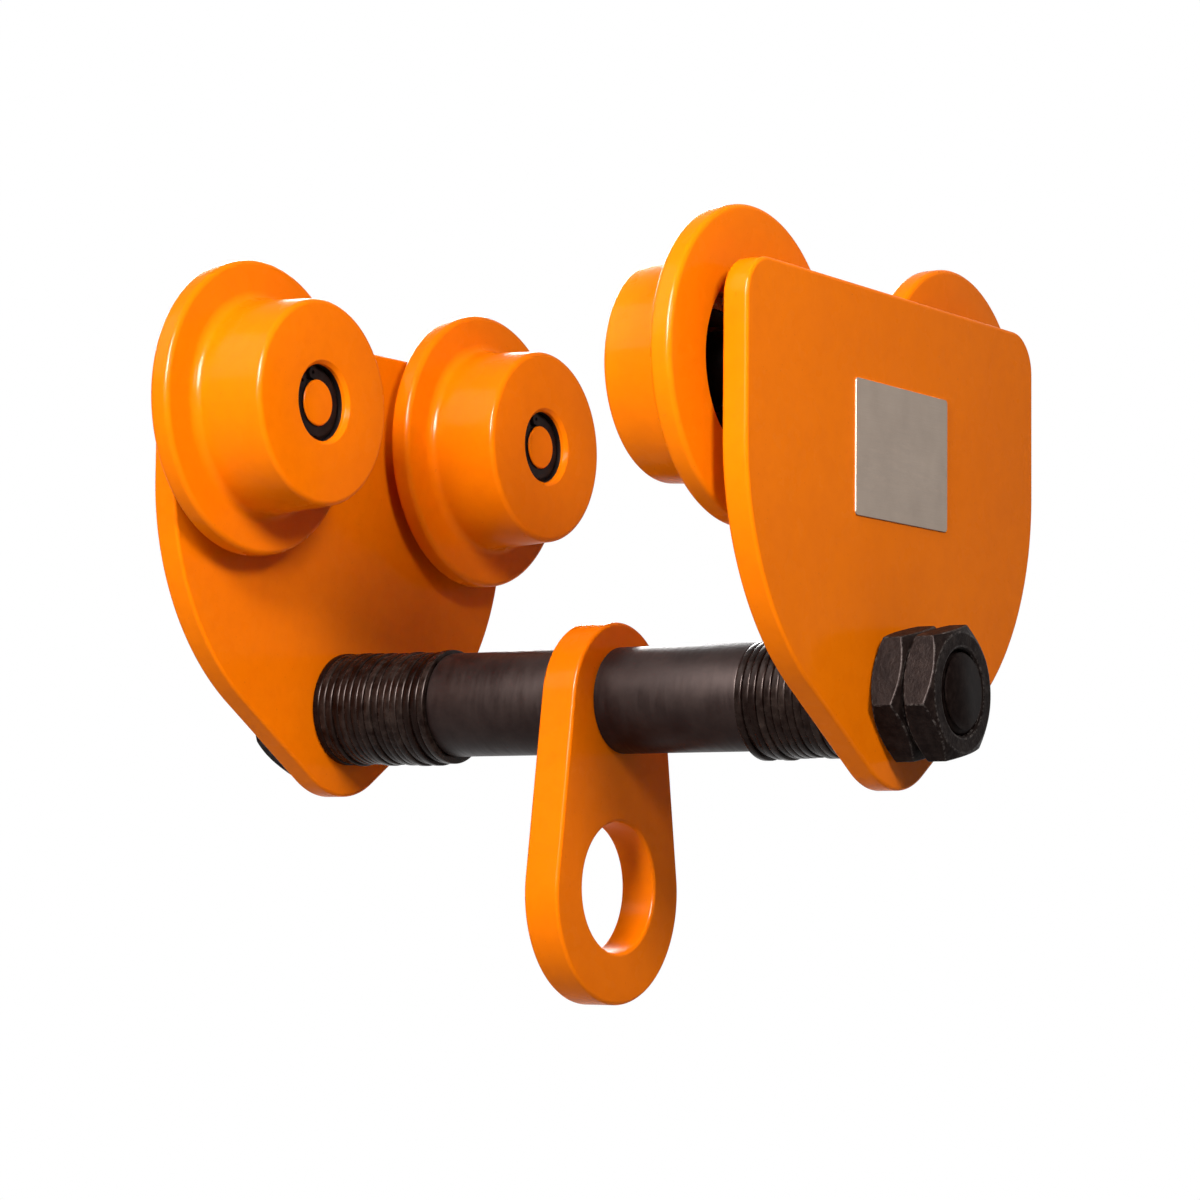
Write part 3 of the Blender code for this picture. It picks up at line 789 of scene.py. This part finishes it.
def threaded_rod(start, end):
    """A smooth rod with a single thread cut on its far end."""
    thread_start = end - THREAD_L
    rows = [start, start + 1.0]
    while rows[-1] < end:
        threaded = rows[-1] + THREAD_STEP / 2 >= thread_start
        rows.append(min(rows[-1] + (THREAD_STEP if threaded else PLAIN_STEP), end))
    bm = bmesh.new()
    rings = []
    for x in rows:
        ring = []
        for step in range(ROD_SIDES):
            angle = 2 * pi * step / ROD_SIDES
            radius = SHAFT_R
            if x > thread_start:
                phase = (x / THREAD_PITCH - step / ROD_SIDES) % 1
                cutting = min(1, (x - thread_start) / THREAD_PITCH)
                radius -= THREAD_DEPTH * cutting * max(0, 1 - abs(phase - 0.5) * THREAD_STEEPNESS)
            radius = min(radius, SHAFT_R - SHAFT_CHAMFER + end - x)
            ring.append(bm.verts.new((x, radius * cos(angle), radius * sin(angle))))
        rings.append(ring)
    for lower, upper in zip(rings, rings[1:]):
        for step in range(ROD_SIDES):
            after = (step + 1) % ROD_SIDES
            bm.faces.new((lower[step], lower[after], upper[after], upper[step]))
    bm.faces.new(rings[0])
    bm.faces.new(rings[-1])
    bmesh.ops.translate(bm, vec=(0, 0, SHAFT_Z), verts=bm.verts)
    return bm


def prism(corner_r, half, turn):
    """A hexagonal bar along the X axis, of twice this half length, turned by this angle."""
    bm = bmesh.new()
    angles = [turn + corner * pi / 3 for corner in range(6)]
    base = [bm.verts.new((-half, corner_r * cos(a), corner_r * sin(a))) for a in angles]
    grown = bmesh.ops.extrude_face_region(bm, geom=[bm.faces.new(base)])["geom"]
    moved = [item for item in grown if isinstance(item, bmesh.types.BMVert)]
    bmesh.ops.translate(bm, vec=(2 * half, 0, 0), verts=moved)
    return bm


def hexagon_piece(name, blank, half, turn, middle, steel, edge_steel):
    """What a hexagonal bar shares with a turned blank, with its edges rubbed round."""
    piece = settle(name, prism(NUT_AF / sqrt(3), half + 1, turn), steel)
    tool = settle(name + "_blank", lathe(blank, 96), steel)
    common = piece.modifiers.new("chamfers", "BOOLEAN")
    common.operation = "INTERSECT"
    common.solver = "EXACT"
    common.object = tool
    flatten(piece)
    bpy.data.objects.remove(tool)
    piece.data.transform(Matrix.Translation(middle * MM))
    worn = piece.modifiers.new("rubbed_edges", "BEVEL")
    worn.width = NUT_WORN_EDGE * MM
    worn.segments = 3
    worn.limit_method = "ANGLE"
    worn.angle_limit = radians(NUT_WORN_ANGLE_DEG)
    worn.material = 1
    piece.data.materials.append(edge_steel)
    piece.data.shade_smooth()
    even_faces(piece)
    return piece


def chamfer():
    """The turned chamfer of a nut or a head: its rim's radius and its length."""
    rim = NUT_AF / sqrt(3) + 1
    return rim, (rim - NUT_FACE_R) * tan(radians(NUT_CHAMFER_DEG))


def make_nut(node, steel, edge_steel):
    """A hexagon whose corners are turned off on both sides, with a countersunk bore."""
    half = NUT_T / 2
    turn = radians(NUT_TURN_DEG)
    rim, slope = chamfer()
    blank = [
        (-half, NUT_BORE_R + NUT_COUNTERSINK),
        (-half, NUT_FACE_R),
        (slope - half, rim),
        (half - slope, rim),
        (half, NUT_FACE_R),
        (half, NUT_BORE_R + NUT_COUNTERSINK),
        (half - NUT_COUNTERSINK, NUT_BORE_R),
        (NUT_COUNTERSINK - half, NUT_BORE_R),
    ]
    nut = hexagon_piece("black_" + node, blank, half, turn, node_middle(node), steel, edge_steel)
    dress(nut, "frame", "nut_steel", node)


def make_bolt(rod_steel, head_steel, edge_steel):
    """The long bolt that carries the lug: its head is at the left plate, its thread at the right one."""
    low, high = node_corners("suspension_shaft")
    half = HEAD_T / 2
    turn = radians(HEAD_TURN_DEG)
    rim, slope = chamfer()
    blank = [(-half, 0), (-half, NUT_FACE_R), (slope - half, rim), (half, rim), (half, 0)]
    middle = Vector((low.x + half, 0, SHAFT_Z))
    head = hexagon_piece("black_bolt_head", blank, half, turn, middle, head_steel, edge_steel)
    rod = settle("threaded_rod", threaded_rod(low.x + HEAD_T - 1, high.x), rod_steel, smooth_deg=50)
    dress(head, "frame", "shaft_steel", "suspension_shaft")
    dress(rod, "frame", "shaft_steel", "suspension_shaft")


def make_tube(side, steel):
    """A spacer tube beside the lug."""
    node = "spacer_tube_" + side
    length = node_size(node).x
    middle = node_middle(node) + Vector((0, 0, TUBE_RISE))
    corners = [
        (-length / 2, TUBE_BORE_R, TUBE_BORE_EDGE),
        (-length / 2, TUBE_R, TUBE_EDGE),
        (length / 2, TUBE_R, TUBE_EDGE),
        (length / 2, TUBE_BORE_R, TUBE_BORE_EDGE),
    ]
    tube = turned("black_tube_" + side, corners, middle, steel, sides=128, steps=4)
    dress(tube, "frame", "tube_steel", node)


def washer_stack_tree(steel):
    """Geometry nodes that thread washers on a line, each a little off the last."""
    tree = bpy.data.node_groups.new("washer_stack", "GeometryNodeTree")
    face = tree.interface
    face.new_socket("Geometry", in_out="OUTPUT", socket_type="NodeSocketGeometry")
    for name, kind in (
        ("Washers", "NodeSocketInt"),
        ("Pitch", "NodeSocketFloat"),
        ("Thickness", "NodeSocketFloat"),
        ("Outer radius", "NodeSocketFloat"),
        ("Bore radius", "NodeSocketFloat"),
        ("Edge", "NodeSocketFloat"),
        ("Play", "NodeSocketFloat"),
        ("Seed", "NodeSocketInt"),
    ):
        face.new_socket(name, in_out="INPUT", socket_type=kind)
    given = tree.nodes.new("NodeGroupInput").outputs
    link = tree.links.new

    def calc(operation, first, second):
        return math_node(tree, operation, first, second)

    def random(low, high, extra):
        made = tree.nodes.new("FunctionNodeRandomValue")
        made.data_type = "FLOAT"
        pair = [socket for socket in made.inputs if socket.name in ("Min", "Max") and socket.enabled]
        for socket, value in zip(pair, (low, high)):
            if isinstance(value, (int, float)):
                socket.default_value = value
            else:
                link(value, socket)
        seed = next(socket for socket in made.inputs if socket.name == "Seed")
        link(calc("ADD", given["Seed"], extra), seed)
        return next(socket for socket in made.outputs if socket.enabled)

    section = tree.nodes.new("GeometryNodeCurvePrimitiveQuadrilateral")
    link(calc("SUBTRACT", given["Outer radius"], given["Bore radius"]), section.inputs["Width"])
    link(given["Thickness"], section.inputs["Height"])
    corners = tree.nodes.new("GeometryNodeFilletCurve")
    corners.mode = "POLY"
    link(section.outputs[0], corners.inputs["Curve"])
    corners.inputs["Count"].default_value = 2
    link(given["Edge"], corners.inputs["Radius"])
    ring = tree.nodes.new("GeometryNodeCurvePrimitiveCircle")
    ring.inputs["Resolution"].default_value = WASHER_SIDES
    radii = calc("ADD", given["Outer radius"], given["Bore radius"])
    link(calc("MULTIPLY", radii, 0.5), ring.inputs["Radius"])
    washer = tree.nodes.new("GeometryNodeCurveToMesh")
    link(ring.outputs[0], washer.inputs["Curve"])
    link(corners.outputs[0], washer.inputs["Profile Curve"])
    smooth = tree.nodes.new("GeometryNodeSetShadeSmooth")
    link(washer.outputs[0], smooth.inputs["Geometry"])

    line = tree.nodes.new("GeometryNodeMeshLine")
    link(given["Washers"], line.inputs["Count"])
    step = tree.nodes.new("ShaderNodeCombineXYZ")
    link(given["Pitch"], step.inputs["X"])
    link(step.outputs[0], line.inputs["Offset"])
    threaded = tree.nodes.new("GeometryNodeInstanceOnPoints")
    link(line.outputs[0], threaded.inputs["Points"])
    link(smooth.outputs[0], threaded.inputs["Instance"])
    threaded.inputs["Rotation"].default_value = (0, pi / 2, 0)
    size = random(WASHER_LEAST_SIZE, WASHER_MOST_SIZE, 1)
    breadth = tree.nodes.new("ShaderNodeCombineXYZ")
    link(size, breadth.inputs["X"])
    link(size, breadth.inputs["Y"])
    breadth.inputs["Z"].default_value = 1
    link(breadth.outputs[0], threaded.inputs["Scale"])
    shift = tree.nodes.new("ShaderNodeCombineXYZ")
    for axis, extra in (("Y", 2), ("Z", 3)):
        other_way = calc("MULTIPLY", given["Play"], -1)
        link(random(other_way, given["Play"], extra), shift.inputs[axis])
    moved = tree.nodes.new("GeometryNodeTranslateInstances")
    moved.inputs["Local Space"].default_value = False
    link(threaded.outputs[0], moved.inputs["Instances"])
    link(shift.outputs[0], moved.inputs["Translation"])
    wear = tree.nodes.new("GeometryNodeStoreNamedAttribute")
    wear.data_type = "FLOAT"
    wear.domain = "INSTANCE"
    wear.inputs["Name"].default_value = "washer_wear"
    link(moved.outputs[0], wear.inputs["Geometry"])
    link(random(0.0, 1.0, 4), wear.inputs["Value"])
    real = tree.nodes.new("GeometryNodeRealizeInstances")
    link(wear.outputs[0], real.inputs["Geometry"])
    coloured = tree.nodes.new("GeometryNodeSetMaterial")
    coloured.inputs["Material"].default_value = steel
    link(real.outputs[0], coloured.inputs["Geometry"])
    out = tree.nodes.new("NodeGroupOutput")
    link(coloured.outputs[0], out.inputs[0])
    return tree


def grow(name, tree, sizes):
    """Runs a geometry node tree with these inputs and returns the plain mesh piece that it makes."""
    holder = bpy.data.objects.new(name, bpy.data.meshes.new(name))
    bpy.context.scene.collection.objects.link(holder)
    maker = holder.modifiers.new("maker", "NODES")
    maker.node_group = tree
    for socket in tree.interface.items_tree:
        if socket.in_out == "INPUT":
            maker[socket.identifier] = sizes[socket.name]
    flatten(holder)
    return holder


def make_washers(side, tree, seed):
    """The loose washers between a tube and its plate, as one piece."""
    nodes = [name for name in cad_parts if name.startswith("adjusting_washer_" + side)]
    boxes = [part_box(name) for name in nodes]
    start = min(low.x for low, high in boxes) / MM
    end = max(high.x for low, high in boxes) / MM
    count = WASHERS_SHOWN[side]
    pitch = (end - start) / count
    sizes = {
        "Washers": count,
        "Pitch": pitch * MM,
        "Thickness": (pitch - WASHER_GAP) * MM,
        "Outer radius": WASHER_R * MM,
        "Bore radius": WASHER_BORE_R * MM,
        "Edge": WASHER_EDGE * MM,
        "Play": WASHER_PLAY * MM,
        "Seed": seed,
    }
    stack = grow("washer_stack_" + side, tree, sizes)
    place = Vector((start + pitch / 2, 0, SHAFT_Z - WASHER_DROP[side]))
    stack.data.transform(Matrix.Translation(place * MM))
    dress(stack, "frame", "washer_steel", *nodes)


# Rating plate, on the outside of the right side plate
RATING_L = 55.0
RATING_H = 39.0
RATING_T = 0.5
RATING_CORNER_R = 1.2
RATING_ROUNDING = 0.12
RATING_RISE = 68.6
RATING_SHIFT = 1.0


def make_rating_plate(foil):
    """A thin bare plate with small round corners."""
    outside = node_corners("side_plate_right")[1].x
    y = RATING_L / 2 - RATING_CORNER_R
    z = RATING_H / 2 - RATING_CORNER_R
    outline = []
    for quarter, (a, b) in enumerate(((y, z), (-y, z), (-y, -z), (y, -z))):
        outline += arc((a, b), RATING_CORNER_R, quarter * pi / 2, (quarter + 1) * pi / 2, 6)
    place = Vector((outside + RATING_T / 2, RATING_SHIFT, SHAFT_Z + RATING_RISE))
    label = cut_plate("bare_rating_plate", outline, [], RATING_T, RATING_ROUNDING, foil, place)
    even_faces(label)
    dress(label, "frame", "bearing_steel")


def light_studio():
    """A wide lamp and two near ones in front, one behind, and two that only reflections show."""
    area_lamp("wide_front_lamp", (0, -1.9, 0.4), width=0.9, height=0.9, power=19)
    area_lamp("near_front_lamp", (0.15, -0.7, 0.35), width=0.2, height=0.2, power=7.1)
    area_lamp("near_side_lamp", (0.6, -0.4, 0.3), width=0.2, height=0.2, power=4.9)
    area_lamp("back_lamp", (-1.3, 1.3, 0.7), width=0.9, height=0.9, power=38)
    edge_gloss = (0.2, -0.75, 0.42)
    area_lamp("edge_gloss_lamp", edge_gloss, width=0.4, height=0.5, power=115, gloss_only=True)
    round_gloss = (-0.65, -0.7, 0.72)
    area_lamp("round_gloss_lamp", round_gloss, width=0.9, height=0.9, power=13, gloss_only=True)


def finish_inner_parts(shade_steel):
    """Gives the bearings and circlips, which stay as solids, their materials."""
    carried = {
        "bearing_outer_ring": ground_steel("outer_race_steel"),
        # The inner rings take the dark steel: painted shade
        "bearing_inner_ring": shade_steel,
        "ball_cage": ground_steel("ball_steel", 0.14),
        "circlip": spring_steel(),
    }
    for name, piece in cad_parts.items():
        for start, finish in carried.items():
            if name.startswith(start):
                piece.data.materials.clear()
                piece.data.materials.append(finish)


def build_scene():
    """Sets up the studio and dresses the trolley."""
    bpy.context.scene.view_settings.view_transform = "Standard"
    look_from_photograph()
    white_room()
    light_studio()
    pale_floor()
    wheel_enamel = orange_enamel("wheel_enamel", peel_mm=2.6)
    plate_enamel = orange_enamel("plate_enamel")
    lug_enamel = orange_enamel("lug_enamel")
    axle_enamel = orange_enamel("axle_enamel", peel_mm=1.6)
    rubber = seal_rubber()
    # Dark steel that paints the shade in the wheels' holes, on the axles and on the inner rings
    shade_steel = painted_shade_metal()
    for way, side in zip((-1, 1), SIDES):
        make_side_plate(side, plate_enamel)
        for end in ENDS:
            tag = f"{side}_{end}"
            face = make_wheel(tag, way, wheel_enamel, shade_steel)
            make_seals(tag, way, face, rubber)
            make_axle(tag, way, axle_enamel, shade_steel)
    make_lug(lug_enamel)
    nut_steel = forged_nut()
    edge_steel = rubbed_edge()
    make_bolt(threaded_steel(), nut_steel, edge_steel)
    make_nut("hex_nut", nut_steel, edge_steel)
    make_nut("lock_nut", nut_steel, edge_steel)
    tube_steel = blackened_tube()
    tree = washer_stack_tree(blackened_washers())
    for seed, side in enumerate(SIDES, start=FIRST_WASHER_SEED):
        make_tube(side, tube_steel)
        make_washers(side, tree, seed)
    make_rating_plate(rating_foil())
    finish_inner_parts(shade_steel)


build_scene()
